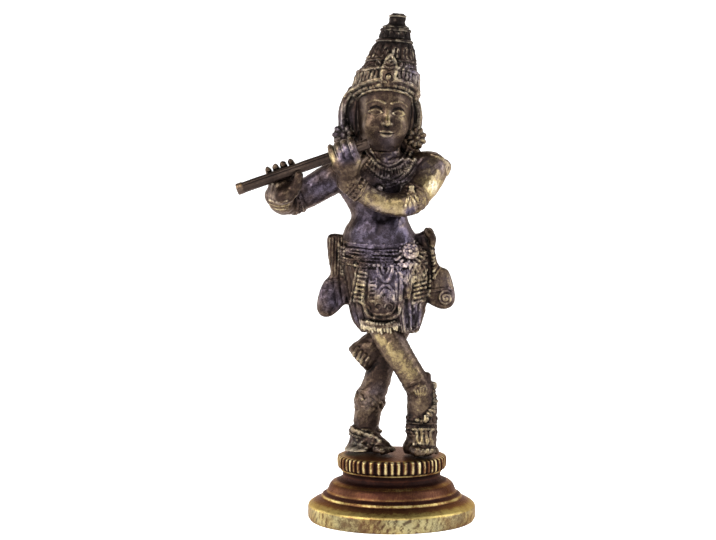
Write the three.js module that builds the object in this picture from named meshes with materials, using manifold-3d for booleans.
// A small cast brass figure of a crowned flute player with crossed legs, on a turned plinth.
// Millimetres, +Z up, the figure faces -Y, and the origin is the centre of the plinth's underside.
import * as THREE from "three";
import { mergeVertices } from "three/addons/utils/BufferGeometryUtils.js";
import Module from "manifold-3d";

const wasm = await Module();
wasm.setup();

// Driving dimensions
const figureHeight = 112.7; // soles to the tip of the crown
const plinthHeight = 17;
const seatGap = 0.3; // between the soles and the plinth's top
const flangeRadius = 21.6;
const flangeThickness = 3.9;
const waistRadius = 12.7; // the narrow neck of the plinth
const lotusRadius = 14.3; // the ribbed ring, over its ribs
const lotusThickness = 3.3;
const lotusRibs = 50;
const ribDepth = 0.7;
const fluteRadius = 1.35;
const fluteLength = 34.8;
const fluteClearance = 0.3; // all round, where the flute passes through the hands
const shortestEdge = 0.12; // of the facets

// The figure's points below are for a figure of this height, and follow figureHeight as shares of it
const drawnHeight = 112.7;
const share = figureHeight / drawnHeight;

const brass = { color: 0x6b5232, roughness: 0.42, metalness: 0.9 };
const paleBrass = { color: 0x8a6f3c, roughness: 0.36, metalness: 0.9 };
const darkBrass = { color: 0x4a382a, roughness: 0.45, metalness: 0.9 };

const X = new THREE.Vector3(1, 0, 0);
const Y = new THREE.Vector3(0, 1, 0);
const Z = new THREE.Vector3(0, 0, 1);
const FRONT = -Math.PI / 2; // the angle round a section at which it faces -Y
const degrees = THREE.MathUtils.degToRad;
const lerp = THREE.MathUtils.lerp;
const smooth = THREE.MathUtils.smoothstep;

// Solids and surfaces

// A closed surface through rings of points that all have one length, with a flat or pointed end on each side.
function closedLoft(rings) {
  const sides = rings[0].length;
  const points = rings.flat();
  const faces = [];
  for (let ring = 0; ring + 1 < rings.length; ring++)
    for (let side = 0; side < sides; side++) {
      const a = ring * sides + side;
      const b = ring * sides + ((side + 1) % sides);
      faces.push(a, b, b + sides, a, b + sides, a + sides);
    }
  for (const [ring, start] of [[rings[0], 0], [rings.at(-1), (rings.length - 1) * sides]]) {
    const middle = points.length;
    points.push(ring.reduce((sum, p) => sum.add(p), new THREE.Vector3()).divideScalar(sides));
    for (let side = 0; side < sides; side++) {
      const a = start + side;
      const b = start + ((side + 1) % sides);
      faces.push(...(start ? [a, b, middle] : [b, a, middle]));
    }
  }
  return facingOut(points, faces);
}

// A closed band through rings of points, whose last ring joins its first.
function closedBand(rings) {
  const sides = rings[0].length;
  const points = rings.flat();
  const faces = [];
  for (let ring = 0; ring < rings.length; ring++)
    for (let side = 0; side < sides; side++) {
      const next = (ring + 1) % rings.length;
      const a = ring * sides + side;
      const b = ring * sides + ((side + 1) % sides);
      const c = next * sides + ((side + 1) % sides);
      const d = next * sides + side;
      faces.push(a, b, c, a, c, d);
    }
  return facingOut(points, faces);
}

// A geometry of these points and triangles, turned so that its faces point outwards.
function facingOut(points, faces) {
  let volume = 0;
  for (let i = 0; i < faces.length; i += 3) {
    const [a, b, c] = [points[faces[i]], points[faces[i + 1]], points[faces[i + 2]]];
    volume += a.dot(new THREE.Vector3().crossVectors(b, c));
  }
  if (volume < 0)
    for (let i = 0; i < faces.length; i += 3) [faces[i + 1], faces[i + 2]] = [faces[i + 2], faces[i + 1]];
  const geometry = new THREE.BufferGeometry().setFromPoints(points);
  geometry.setIndex(faces);
  return geometry;
}

function solid(geometry) {
  const bare = geometry.clone();
  for (const name of Object.keys(bare.attributes)) if (name !== "position") bare.deleteAttribute(name);
  const merged = mergeVertices(bare, 1e-4);
  const triVerts = [];
  for (let i = 0; i < merged.index.count; i += 3) {
    const [a, b, c] = merged.index.array.slice(i, i + 3);
    if (a !== b && b !== c && c !== a) triVerts.push(a, b, c);
  }
  return new wasm.Manifold(
    new wasm.Mesh({
      numProp: 3,
      vertProperties: new Float32Array(merged.attributes.position.array),
      triVerts: new Uint32Array(triVerts),
    }),
  );
}

function geometryOf(manifold) {
  const mesh = manifold.getMesh();
  const points = [];
  for (let i = 0; i < mesh.vertProperties.length; i += 3)
    points.push(new THREE.Vector3().fromArray(mesh.vertProperties, i));
  const geometry = new THREE.BufferGeometry().setFromPoints(points);
  geometry.setIndex(withoutShortEdges(points, Array.from(mesh.triVerts)));
  const bare = mergeVertices(geometry.toNonIndexed(), 1e-6);
  bare.computeVertexNormals();
  return bare;
}

// The triangles that are left when each very short edge shrinks to a point, where the surface stays closed
// and no neighbouring triangle turns over.
function withoutShortEdges(points, corners) {
  const triangles = [];
  const around = points.map(() => new Set());
  for (let i = 0; i < corners.length; i += 3) {
    const triangle = corners.slice(i, i + 3);
    triangles.push(triangle);
    for (const corner of triangle) around[corner].add(triangle);
  }
  const length = (a, b) => points[a].distanceTo(points[b]);
  const neighbours = (a) => new Set([...around[a]].flat().filter((b) => b !== a));
  const normal = ([a, b, c]) =>
    new THREE.Vector3().crossVectors(points[b].clone().sub(points[a]), points[c].clone().sub(points[a]));
  const shrink = (a, b) => {
    const beside = neighbours(b);
    if ([...neighbours(a)].filter((c) => beside.has(c)).length !== 2) return;
    const moved = [...around[b]].filter((t) => !t.includes(a));
    const turnsOver = moved.some((t) => {
      const before = normal(t);
      const after = normal(t.map((c) => (c === b ? a : c)));
      return before.length() > 1e-5 && before.dot(after) <= 0.2 * before.length() * after.length();
    });
    if (turnsOver) return;
    for (const triangle of [...around[b]]) {
      if (triangle.includes(a)) for (const c of triangle) around[c].delete(triangle);
      else {
        triangle[triangle.indexOf(b)] = a;
        around[a].add(triangle);
      }
    }
    around[b].clear();
  };
  for (let round = 0; round < 3; round++) {
    const edges = points.flatMap((_, a) => [...neighbours(a)].filter((b) => b > a).map((b) => [a, b]));
    const short = edges.filter(([a, b]) => length(a, b) < shortestEdge);
    short.sort((p, q) => length(...p) - length(...q));
    for (const [a, b] of short) if (neighbours(a).has(b)) shrink(a, b);
  }
  return [...new Set(around.flatMap((set) => [...set]))].flat();
}

const joined = (geometries) => geometries.map(solid).reduce((sum, piece) => sum.add(piece));

// A smooth value through evenly spaced ones, t from 0 to 1.
function through(values, t) {
  const last = values.length - 1;
  const place = t * last;
  const i = Math.min(Math.floor(place), last - 1);
  const u = place - i;
  const [a, b, c, d] = [-1, 0, 1, 2].map((k) => values[THREE.MathUtils.clamp(i + k, 0, last)]);
  return 0.5 * (2 * b + (c - a) * u + (2 * a - 5 * b + 4 * c - d) * u * u + (3 * b - a - 3 * c + d) * u ** 3);
}

// The places of the rings along a form: even ones, and two on each side of every raised band, with its rise.
function ringPlaces(even, bands, slope) {
  const clear = even.filter((t) => bands.every((band) => Math.abs(t - band.at) > band.half + 2 * slope));
  const edges = bands.flatMap(({ at, half, rise }) => [
    [at - half - slope, 0],
    [at - half, rise],
    [at + half, rise],
    [at + half + slope, 0],
  ]);
  return [...clear.map((t) => [t, 0]), ...edges].sort((p, q) => p[0] - q[0]);
}

// A round or flattened limb through [x, y, z, radius], with round ends. wide and thin stretch its section
// along the side axis and across it. Each band is a raised ring at a share of its length.
function limb(points, { sides = 8, side = X, wide = 1, thin = 1, bands = [] } = {}) {
  const at = (t) => new THREE.Vector3(...[0, 1, 2].map((k) => through(points.map((p) => p[k]), t)));
  const radius = (t) => through(points.map((p) => p[3]), t);
  const direction = (t) => at(Math.min(t + 0.01, 1)).sub(at(Math.max(t - 0.01, 0))).normalize();
  const ring = (centre, along, r) => {
    const u = side.clone().addScaledVector(along, -side.dot(along)).normalize();
    const v = new THREE.Vector3().crossVectors(along, u);
    return Array.from({ length: sides }, (_, i) => {
      const angle = (i / sides) * 2 * Math.PI;
      return centre
        .clone()
        .addScaledVector(u, Math.cos(angle) * r * wide)
        .addScaledVector(v, Math.sin(angle) * r * thin)
        .multiplyScalar(share);
    });
  };
  const cap = (t, outward) => {
    const along = direction(t);
    return ring(at(t).addScaledVector(along, outward * radius(t) * 0.75), along, radius(t) * 0.6);
  };
  const even = points.map((_, i) => i / (points.length - 1));
  const body = ringPlaces(even, bands, 0.02).map(([t, rise]) => ring(at(t), direction(t), radius(t) + rise));
  return closedLoft([cap(0, -1), ...body, cap(1, 1)]);
}

// An ellipsoid.
function blob(centre, radii, { turn = [0, 0, 0], detail = 6 } = {}) {
  return new THREE.SphereGeometry(1, detail, Math.max(4, Math.round(detail * 0.6)))
    .scale(...radii.map((r) => r * share))
    .applyMatrix4(new THREE.Matrix4().makeRotationFromEuler(new THREE.Euler(...turn.map(degrees))))
    .translate(...centre.map((c) => c * share));
}

// The section of a form that stands upright: stations hold [z, centre x, centre y, half width, half depth].
function sectionAt(stations, z) {
  const top = stations.findIndex((s) => s[0] >= z);
  if (top <= 0) return top === 0 ? stations[0].slice(1) : stations.at(-1).slice(1);
  const [below, above] = [stations[top - 1][0], stations[top][0]];
  const t = (top - 1 + (z - below) / (above - below)) / (stations.length - 1);
  return [1, 2, 3, 4].map((k) => through(stations.map((s) => s[k]), t));
}

// The point of such a form's surface at an angle and height, moved out by lift.
function onSection(stations, angle, z, lift = 0, fold = () => 1) {
  const [cx, cy, rx, ry] = sectionAt(stations, z);
  const f = fold(angle, z);
  return new THREE.Vector3(
    cx + Math.cos(angle) * (rx * f + lift),
    cy + Math.sin(angle) * (ry * f + lift),
    z,
  );
}

// The form itself. Its rings dip in front and rise behind by dip(z), and bands are raised rings at a height.
function upright(stations, { sides = 20, fold, dip = () => 0, bands = [] } = {}) {
  const places = ringPlaces(stations.map((s) => s[0]), bands, 0.3);
  return closedLoft(
    places.map(([z, rise]) =>
      Array.from({ length: sides }, (_, side) => {
        const angle = (side / sides) * 2 * Math.PI;
        const p = onSection(stations, angle, z, rise, fold);
        return p.setZ(z + dip(z) * Math.sin(angle)).multiplyScalar(share);
      }),
    ),
  );
}

// A cord that lies round a form as a closed loop: place(angle) gives the point of its centre line.
function loop(place, radius, count) {
  const sides = 4;
  const rings = [];
  for (let i = 0; i < count; i++) {
    const angle = (i / count) * 2 * Math.PI;
    const centre = place(angle);
    const along = place(angle + 0.02).sub(place(angle - 0.02)).normalize();
    const out = new THREE.Vector3().crossVectors(along, Z).normalize();
    const up = new THREE.Vector3().crossVectors(out, along);
    rings.push(
      Array.from({ length: sides }, (_, side) => {
        const turn = ((side + 0.5) / sides) * 2 * Math.PI;
        return centre
          .clone()
          .addScaledVector(out, Math.cos(turn) * radius)
          .addScaledVector(up, Math.sin(turn) * radius)
          .multiplyScalar(share);
      }),
    );
  }
  return closedBand(rings);
}

// The body

const torsoStations = [
  [50.0, -2.3, 0.2, 10.6, 7.0],
  [55.0, -3.0, 0.1, 9.9, 6.6],
  [57.6, -3.4, -0.2, 8.6, 6.2],
  [60.7, -3.2, -0.2, 7.2, 5.6],
  [63.2, -3.1, 0.0, 8.2, 5.6],
  [67.0, -2.6, 0.2, 10.9, 6.0],
  [70.0, -2.1, 0.3, 12.0, 6.2],
  [73.0, -1.7, 0.4, 11.3, 5.6],
  [75.2, -1.6, 0.5, 7.6, 4.8],
  [76.8, -1.8, 0.3, 4.4, 4.1],
  [81.5, -2.2, 0.0, 3.9, 3.9],
];

const skirtStations = [
  [31.0, -0.5, 0.3, 6.7, 6.0],
  [33.2, -1.0, 0.3, 8.0, 6.9],
  [36.0, -1.1, 0.4, 8.9, 7.6],
  [40.0, -1.1, 0.5, 9.7, 8.1],
  [46.0, -1.5, 0.5, 10.7, 8.3],
  [51.5, -2.2, 0.4, 11.2, 7.9],
  [55.2, -2.9, 0.3, 10.1, 7.0],
];

// Soft folds that run down the skirt, deeper towards the hem and absent behind the apron.
const skirtFolds = 11;
function skirtFold(angle, z) {
  const fromFront = Math.abs(Math.atan2(Math.sin(angle - FRONT), Math.cos(angle - FRONT)));
  const beside = smooth(fromFront, degrees(35), degrees(60));
  return 1 + 0.035 * beside * smooth(54 - z, 0, 14) * Math.cos(skirtFolds * angle);
}

const torso = () => [
  upright(torsoStations, { sides: 18 }),
  blob([-3.4, -2.6, 56.6], [6.6, 4.6, 4.2], { detail: 8 }), // the belly
  blob([-6.9, -3.4, 69.3], [4.3, 3.2, 3.6], { detail: 8 }), // chest, the figure's right
  blob([2.6, -3.4, 69.5], [4.3, 3.2, 3.6], { detail: 8 }), // chest, the figure's left
];

const beltBands = [
  { at: 49.6, half: 0.5, rise: 0.8 },
  { at: 52.8, half: 1.0, rise: 1.0 },
];
const skirt = () => [
  upright(skirtStations, {
    sides: 2 * skirtFolds,
    fold: skirtFold,
    dip: (z) => 1.4 * smooth(z, 42, 49),
    bands: beltBands,
  }),
];

// The tongue of cloth down the skirt's front, with a raised border and a fan of pleats.
function apron() {
  const reach = (z, width) => width * Math.sqrt(Math.max(0, (z - 32.5) / 16));
  const left = (z) => -1.6 - reach(z, 6.8);
  const right = (z) => -0.6 + reach(z, 6.4);
  const front = (x, z, out) => {
    const [cx, cy, rx, ry] = sectionAt(skirtStations, z);
    const c = THREE.MathUtils.clamp((x - cx) / rx, -1, 1);
    return new THREE.Vector3(x, cy - ry * Math.sqrt(1 - c * c) - out, z);
  };
  const border = 0.95;
  const field = 0.45;
  const across = [
    [0, border], [0.12, border], [0.17, field], [0.5, field], [0.83, field], [0.88, border], [1, border],
  ];
  const sheet = closedLoft(
    [33, 35, 40, 48.8].map((z) => {
      const shown = across.map(([t, lift]) => front(lerp(left(z), right(z), t), z, lift));
      const hidden = [1, 0].map((t) => front(lerp(left(z), right(z), t), z, -2));
      return [...shown, ...hidden].map((p) => p.multiplyScalar(share));
    }),
  );
  const pleats = [-1, 0, 1].map((i) => {
    const top = front(-1.2 + i * 0.8, 45.5, field);
    const low = front(-1.0 + i * 2.4, 36.4 + 0.6 * i * i, field + 0.3);
    return limb([[...top.toArray(), 0.6], [...low.toArray(), 1.2]], { sides: 5 });
  });
  return [sheet, ...pleats];
}

// Pleated cloth ends that hang below the hem on the figure's left.
const drapeEnds = () =>
  [0, 1, 2].map((i) =>
    limb(
      [
        [2.2 + i * 2.0, -5.9 + i * 1.4, 45, 0.9],
        [2.4 + i * 1.9, -6.9 + i * 1.4, 38, 1.3],
        [2.9 + i * 1.5, -6.1 + i * 1.3, 31.8 + i * 0.6, 1.2],
      ],
      { sides: 5 },
    ),
  );

// A flat end of the waist sash that stands out from the hip, from its outline in x and z.
function sash(outline, back, thickness) {
  const closed = new THREE.CatmullRomCurve3(outline.map(([x, z]) => new THREE.Vector3(x, z, 0)), true);
  const count = 22;
  const shape = new THREE.Shape(Array.from({ length: count }, (_, i) => closed.getPointAt(i / count)));
  const edge = 0.8;
  return new THREE.ExtrudeGeometry(shape, {
    depth: thickness - 2 * edge,
    bevelEnabled: true,
    bevelThickness: edge,
    bevelSize: edge,
    bevelOffset: -edge,
    bevelSegments: 1,
  })
    .rotateX(Math.PI / 2)
    .translate(0, back - edge, 0)
    .scale(share, share, share);
}

const rightSash = [
  [-8, 55.4], [-12, 56.0], [-16.3, 55.8], [-16.4, 50.5], [-15.8, 46.2], [-17.6, 43.7], [-18.8, 40.8],
  [-19.3, 37.2], [-18.3, 35.2], [-16.3, 34.8], [-14.2, 36.0], [-12.0, 38.0], [-8, 39.5],
];
const leftSash = [
  [4, 56.4], [7.0, 56.4], [9.4, 57.8], [10.8, 56.8], [10.9, 53.0], [12.0, 48.4], [14.4, 46.9], [15.6, 44.0],
  [16.3, 40.0], [15.4, 37.6], [13.2, 36.9], [10.8, 37.6], [8.8, 38.8], [6, 41],
];

const sashes = () => [
  sash(rightSash, 3.2, 4.6),
  sash(leftSash, 2.8, 4.6),
  blob([-16.3, -0.4, 39.2], [2.5, 2.1, 3.2], { turn: [0, 12, 0] }),
  blob([13.6, -0.4, 39.9], [2.3, 2.1, 2.5]),
];

// The arms. The figure's right arm reaches out to the flute's far end, and its left crosses the chest.

const rightArm = [
  [-11.4, 0.4, 72.0, 4.1],
  [-15.6, 0.8, 70.3, 4.1],
  [-21.0, 0.8, 67.2, 3.9],
  [-26.4, -0.6, 64.7, 3.5],
  [-28.2, -4.6, 64.8, 3.2],
  [-28.2, -8.8, 66.4, 2.6],
];
const leftArm = [
  [8.6, 0.6, 73.4, 4.1],
  [10.2, -0.8, 72.9, 4.1],
  [8.8, -3.4, 69.6, 3.9],
  [6.4, -6.4, 66.4, 3.5],
  [3.4, -9.0, 64.0, 3.2],
  [-1.4, -10.2, 64.0, 2.8],
  [-6.2, -11.2, 66.2, 2.6],
  [-10.9, -12.2, 69.4, 2.3],
];
const armlet = { half: 0.02, rise: 0.6 };

const arms = () => [
  limb(rightArm, { side: Z, bands: [{ at: 0.3, ...armlet }, { at: 0.9, ...armlet }] }),
  limb(leftArm, {
    side: Z,
    bands: [{ at: 0.25, ...armlet }, { at: 0.5, ...armlet }, { at: 0.93, ...armlet }],
  }),
  blob([13.2, -0.6, 72.9], [1.4, 1.7, 2.2], { turn: [0, 20, 0] }), // the tassel on the left shoulder
  blob([2.6, -9.3, 60.9], [0.8, 0.8, 1.5]), // drops under the elbow's bracelets
  blob([4.7, -8.9, 60.7], [0.8, 0.8, 1.5]),
];

// The flute's line: its mouth end, and the direction from there towards its far end.
const fluteTilt = degrees(19.2);
const fluteMouth = [-5.7, -13.4, 79.0];
const fluteAlong = new THREE.Vector3(-Math.cos(fluteTilt), 0, -Math.sin(fluteTilt));
const fluteUp = new THREE.Vector3(-Math.sin(fluteTilt), 0, Math.cos(fluteTilt));
const gripNear = 6.7; // from the mouth end to the middle of the left hand
const gripFar = 22.9; // and of the right hand
const nearHandWidth = 7.4;
const farHandWidth = 7.8;
const fingerRadius = 1.05;

// The direction away from the flute's axis at an angle: 0 is above it and 90 degrees in front of it.
function awayFromFlute(round) {
  return fluteUp
    .clone()
    .multiplyScalar(Math.cos(degrees(round)))
    .addScaledVector(Y, -Math.sin(degrees(round)));
}

// A point beside the flute: along it, round it and out from its axis.
const besideFlute = (along, round, out) =>
  new THREE.Vector3(...fluteMouth)
    .addScaledVector(fluteAlong, along)
    .addScaledVector(awayFromFlute(round), out);

// A row of fingers or toes side by side, through stops that each have a middle, the direction across the row,
// the direction of the rounded side, and a finger's radius.
function digits(count, width, stops) {
  const lobes = 2 * count;
  const heights = Array.from({ length: lobes + 1 }, (_, k) => (k % 2 ? 1 : 0.35));
  heights[0] = heights[lobes] = -0.1;
  return closedLoft(
    stops.map(({ middle, across, out, radius }) => {
      const point = (t, height) =>
        middle
          .clone()
          .addScaledVector(across, (t - 0.5) * width)
          .addScaledVector(out, height * radius)
          .multiplyScalar(share);
      return [...heights.map((h, k) => point(k / lobes, h)), point(0.95, -0.8), point(0.05, -0.8)];
    }),
  );
}

// Four fingers that curl round the flute: knuckle is an angle and a distance, then angles from and to.
function fingers(grip, width, knuckle, from, to) {
  const curled = fluteRadius + fluteClearance + 0.5 * fingerRadius;
  const stop = (round, out, radius) => ({
    middle: besideFlute(grip, round, out),
    across: fluteAlong,
    out: awayFromFlute(round),
    radius,
  });
  return digits(4, width, [
    stop(knuckle.angle, knuckle.out, fingerRadius * 1.2),
    ...[0, 0.35, 0.7, 1].map((t) => stop(lerp(from, to, t), curled, fingerRadius * lerp(1.05, 0.8, t))),
  ]);
}

const palmOf = (start, end, radius, wide) => limb([start, [...end, radius]], { side: fluteAlong, wide });
const thumb = (root, tip) => limb([[...root, 1.3], [...tip, 1.0]], { sides: 6 });

// The left hand: its back faces the viewer, and its fingers go up in front of the flute and over it.
const leftHand = () => [
  fingers(gripNear, nearHandWidth, { angle: 138, out: 3.9 }, 100, -30),
  palmOf(leftArm.at(-1), besideFlute(gripNear, 150, 4.2), 2.5, 1.25),
  thumb(besideFlute(gripNear - 2.4, 165, 4.0), besideFlute(gripNear - 4.4, 190, 3.2)),
];

// The right hand: it lies behind and under the flute, with its fingertips over the top and its thumb in front.
const rightHand = () => [
  fingers(gripFar, farHandWidth, { angle: -125, out: 3.6 }, -95, -12),
  palmOf(rightArm.at(-1), besideFlute(gripFar + 0.4, -140, 3.9), 2.5, 1.3),
  palmOf(rightArm.at(-1), besideFlute(gripFar + 0.9, 168, 5.4), 2.1, 1.35),
  thumb(besideFlute(gripFar - 1.6, 172, 4.4), besideFlute(gripFar - 4.0, 128, 3.2)),
];

// The room that the flute needs, with some air past both of its ends.
function fluteRoom() {
  const radius = fluteRadius + fluteClearance;
  const air = 1;
  const room = new THREE.CylinderGeometry(radius, radius, fluteLength + 2 * air, 12).applyQuaternion(
    new THREE.Quaternion().setFromUnitVectors(Y, fluteAlong),
  );
  const start = new THREE.Vector3(...fluteMouth).multiplyScalar(share);
  return room.translate(...start.addScaledVector(fluteAlong, fluteLength / 2));
}

// The head, in a frame of its own that leans and turns a little about the neck

const headLean = 4; // degrees, the crown towards the figure's left
const headTurn = 8;
const neckPoint = [-2.9, 0, 77.2];
const headFrame = new THREE.Matrix4()
  .makeTranslation(...neckPoint.map((c) => c * share))
  .multiply(new THREE.Matrix4().makeRotationY(degrees(headLean)))
  .multiply(new THREE.Matrix4().makeRotationZ(degrees(headTurn)));

const headStations = [
  [0.2, 0.0, -4.6, 2.6, 2.6],
  [1.6, 0.0, -2.9, 4.6, 5.2],
  [4.2, 0.0, -1.6, 6.1, 6.7],
  [8.2, 0.0, -0.7, 7.0, 7.7],
  [12.6, 0.0, -0.4, 7.3, 7.9],
  [17.2, 0.0, -0.3, 7.4, 7.6],
  [21.0, 0.3, -0.2, 5.6, 5.8],
];

const face = () => [
  limb([[0, -7.6, 12.8, 0.6], [0, -9.0, 7.6, 1.1]], { sides: 6 }), // nose
  blob([0, -7.4, 4.7], [1.8, 1.0, 0.8]), // lips
  blob([0, -6.3, 1.9], [1.9, 1.3, 1.4]), // chin
  ...[-1, 1].map((side) => blob([side * 2.9, -7.0, 10.7], [1.8, 0.9, 0.85])), // eyes under their lids
];

const ears = () =>
  [-1, 1].flatMap((side) => {
    const out = side < 0 ? 9.8 : 8.4;
    return [
      limb(
        [
          [side * (out - 1.9), 1.6, 15.0, 1.5],
          [side * out, 1.2, 10.4, 1.6],
          [side * (out + 0.5), 0.6, 5.4, 0.9],
        ],
        { sides: 6, side: Y, wide: 1.5 },
      ),
      blob([side * (out + 0.1), 0.2, 3.6 - 0.2 * side], [2.7, 1.5, 2.9], { detail: 7 }), // earring
    ];
  });

// The crown: a band that rises over the brow, a tall tapering drum with ledges, and a knob.
// It leans further than the head.
const crownLean = Math.tan(degrees(5.5));
const crownSections = [
  [13.4, 8.0], [14.2, 8.9], [16.0, 9.0], [16.8, 8.6], [18.6, 8.4], [19.6, 8.4], [20.4, 7.7], [22.4, 6.7],
  [23.2, 6.5], [25.0, 6.2], [28.0, 5.3], [28.8, 4.4], [30.4, 3.8], [31.8, 3.6], [32.6, 2.5], [34.4, 2.3],
  [35.5, 1.3],
];
const crownStations = crownSections.map(([z, r]) => [z, (z - 14) * crownLean, 0, r, r]);

const crown = () => [
  upright(crownStations, { sides: 14, dip: (z) => -1.3 * (1 - smooth(z, 15, 26)) }),
  limb([[0.2, -8.7, 17.4, 1.9], [0.5, -7.8, 20.8, 2.0], [0.9, -6.0, 25.2, 1.1]], { sides: 7, thin: 0.6 }),
];

// Hair under the crown at the back, and locks that lie on the shoulders.
const hair = () => [
  blob([0, 3.4, 7.4], [8.4, 5.4, 7.4], { detail: 9 }),
  blob([-7.6, 1.9, 10.6], [3.0, 3.2, 4.6], { turn: [0, 14, 0] }),
];
const locks = () =>
  [-1, 1].map((side) =>
    limb(
      [
        [-2.0 + side * 4.6, 3.6, 81.5, 2.0],
        [-1.6 + side * 6.8, 4.2, 77.0, 2.0],
        [-1.4 + side * 8.0, 3.6, 73.6, 1.4],
      ],
      { sides: 6 },
    ),
  );

const head = () =>
  [upright(headStations, { sides: 14 }), ...face(), ...ears(), ...crown(), ...hair()].map((piece) =>
    piece.applyMatrix4(headFrame),
  );

// Necklaces: closed cords that lie on the neck and chest, lowest in front.
function necklace(top, drop, radius, lift) {
  const place = (angle) => {
    const low = (1 - Math.sin(angle)) / 2;
    return onSection(torsoStations, angle, top - drop * low ** 2.4, lift + 0.9 * low);
  };
  return loop(place, radius, 14);
}
const necklaces = () => [
  necklace(77.2, 5.6, 1.2, 0.2),
  blob(onSection(torsoStations, FRONT, 67.6, 0.2).toArray(), [1.5, 1.0, 1.9]),
];

// The legs. The figure's right leg crosses in front and stands on its toes; its left leg stands flat behind.

const rightLeg = [
  [-4.6, -1.8, 39.5, 4.6],
  [-2.4, -3.9, 33.0, 4.1],
  [0.5, -5.0, 28.0, 3.8],
  [3.5, -5.3, 23.0, 3.4],
  [6.6, -5.0, 17.8, 3.5],
];
const rightCalf = [
  [7.3, -4.7, 17.2, 3.4],
  [7.8, -4.0, 13.0, 3.9],
  [7.7, -3.8, 8.6, 3.7],
  [7.6, -3.9, 3.6, 3.7],
];
const leftLeg = [
  [2.8, 1.8, 38.0, 4.6],
  [0.2, 2.6, 31.0, 4.2],
  [-3.8, 3.0, 27.0, 3.9],
  [-7.6, 2.8, 24.3, 3.5],
];
const leftCalf = [
  [-2.2, 3.0, 25.0, 3.4],
  [-3.7, 3.1, 18.4, 3.5],
  [-5.8, 3.2, 12.2, 3.6],
  [-7.0, 2.9, 3.4, 3.2],
];

const legs = () => [
  limb(rightLeg, { sides: 9, bands: [{ at: 0.9, half: 0.03, rise: 0.6 }] }),
  limb(rightCalf, {
    sides: 9,
    bands: [{ at: 0.66, half: 0.03, rise: 0.5 }, { at: 0.82, half: 0.03, rise: 0.5 }],
  }),
  limb(leftLeg, { sides: 9, bands: [{ at: 0.9, half: 0.03, rise: 0.6 }] }),
  limb(leftCalf, { sides: 9, bands: [{ at: 0.91, half: 0.05, rise: 0.9 }] }),
  limb([[10.9, -4.6, 15.0, 0.9], [10.4, -6.4, 11.0, 0.9], [8.8, -7.2, 8.4, 0.8]], { sides: 5 }), // chain
];

// Five toes: middle is the root of the middle one, and heading their direction in degrees round Z from -Y.
function toes(middle, heading, width, length, radius) {
  const ahead = new THREE.Vector3(Math.sin(degrees(heading)), -Math.cos(degrees(heading)), 0);
  const across = new THREE.Vector3(-ahead.y, ahead.x, 0);
  const root = new THREE.Vector3(...middle);
  const stop = (reach, z, r) => ({
    middle: root.clone().addScaledVector(ahead, reach).setZ(z),
    across,
    out: Z,
    radius: r,
  });
  return digits(5, width, [
    stop(0, middle[2], radius * 1.3),
    stop(0.6 * length, radius, radius),
    stop(length, 0.85 * radius, radius * 0.85),
  ]);
}

const feet = () => [
  limb([[7.9, -4.0, 5.4, 3.2], [8.2, -5.4, 3.2, 2.9], [8.7, -7.0, 1.7, 2.1]], { wide: 1.15 }),
  toes([8.6, -7.0, 1.5], 12, 6.2, 3.2, 1.1),
  limb([[-8.4, 4.6, 2.2, 2.6], [-6.4, 1.8, 3.0, 2.9], [-3.6, -1.2, 2.0, 2.3], [-1.6, -3.0, 1.4, 1.6]], {
    side: Y,
    wide: 1.1,
  }),
  toes([-1.9, -2.9, 1.1], 38, 5.4, 3.0, 0.85),
  blob([7.1, -3.2, 1.6], [4.3, 3.2, 3.1], { detail: 8 }), // the block of metal under the raised heel
];

// The three pieces

const mesh = (name, geometry, look) => {
  const made = new THREE.Mesh(geometry, new THREE.MeshStandardMaterial(look));
  made.name = name;
  return made;
};

// The slab of space under the soles, which cuts them flat.
function underSoles() {
  const size = 60 * share;
  return solid(new THREE.BoxGeometry(size, size, size).translate(0, 0, -size / 2));
}

function figure() {
  const whole = joined([
    ...torso(), ...skirt(), ...apron(), ...drapeEnds(), ...sashes(), ...arms(), ...leftHand(), ...rightHand(),
    ...head(), ...locks(), ...necklaces(), ...legs(), ...feet(),
  ]);
  const cut = whole.subtract(solid(fluteRoom())).subtract(underSoles());
  const made = mesh("figure", geometryOf(cut), brass);
  made.position.z = plinthHeight + seatGap;
  return made;
}

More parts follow.
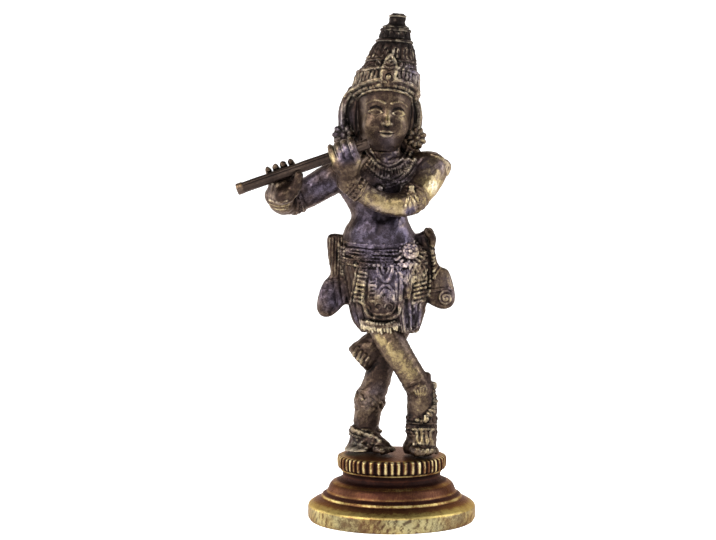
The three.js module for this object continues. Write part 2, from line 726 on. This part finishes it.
// The plinth: a turned flange, two fine ledges, a bell and a neck under a ribbed ring and a slightly domed top.
function plinth() {
  const lotusTop = plinthHeight - 0.5;
  const lotusFoot = lotusTop - lotusThickness;
  const lip = 0.4;
  const stem = lotusFoot - flangeThickness; // height from the flange's edge to the ring
  const spread = flangeRadius - waistRadius;
  const profile = [
    [0, 0],
    [flangeRadius - 0.5, 0],
    [flangeRadius - 0.1, 0.6],
    [flangeRadius, 2.0],
    [flangeRadius - 0.3, flangeThickness],
    [flangeRadius - 1.2, flangeThickness + 0.1 * stem],
    [waistRadius + 0.63 * spread, flangeThickness + 0.16 * stem],
    [waistRadius + 0.6 * spread, flangeThickness + 0.25 * stem],
    [waistRadius + 0.47 * spread, flangeThickness + 0.28 * stem],
    [waistRadius + 0.45 * spread, flangeThickness + 0.4 * stem],
    [waistRadius + 0.37 * spread, flangeThickness + 0.46 * stem],
    [waistRadius + 0.36 * spread, flangeThickness + 0.6 * stem],
    [waistRadius + 0.13 * spread, flangeThickness + 0.7 * stem],
    [waistRadius, flangeThickness + 0.74 * stem],
    [waistRadius, lotusFoot - lip],
    [lotusRadius - ribDepth - 0.2, lotusFoot - lip],
    [lotusRadius - ribDepth, lotusFoot],
    [lotusRadius - ribDepth, lotusTop],
    [lotusRadius - ribDepth - 1.2, lotusTop + 0.2],
    [lotusRadius - 5, plinthHeight],
    [0, plinthHeight],
  ];
  const outline = profile.map(([r, z]) => new THREE.Vector2(r, z));
  const turned = new THREE.LatheGeometry(outline, 32).rotateX(Math.PI / 2);
  const star = new THREE.Shape(
    Array.from({ length: 2 * lotusRibs }, (_, i) => {
      const angle = (i / (2 * lotusRibs)) * 2 * Math.PI;
      const r = lotusRadius - (i % 2 ? ribDepth * 0.9 : 0);
      return new THREE.Vector2(Math.cos(angle) * r, Math.sin(angle) * r);
    }),
  );
  const ribs = new THREE.ExtrudeGeometry(star, { depth: lotusThickness - 0.3, bevelEnabled: false });
  ribs.translate(0, 0, lotusFoot + 0.15);
  return mesh("plinth", geometryOf(joined([turned, ribs])), paleBrass);
}

// The flute: a plain rod with filed flats and a thicker far end.
function flute() {
  const flats = 10;
  const half = fluteLength / 2;
  const outline = [
    [0, -half],
    [fluteRadius - 0.1, -half],
    [fluteRadius - 0.1, half - 1.6],
    [fluteRadius, half - 1.3],
    [fluteRadius, half],
    [0, half],
  ];
  const rod = new THREE.LatheGeometry(outline.map(([r, y]) => new THREE.Vector2(r, y)), flats);
  const made = mesh("flute", geometryOf(solid(rod)), darkBrass);
  made.quaternion.setFromUnitVectors(Y, fluteAlong);
  const start = new THREE.Vector3(...fluteMouth).multiplyScalar(share);
  made.position.copy(start.addScaledVector(fluteAlong, half));
  made.position.z += plinthHeight + seatGap;
  return made;
}

const statuette = new THREE.Group();
statuette.add(plinth(), figure(), flute());

export default statuette;
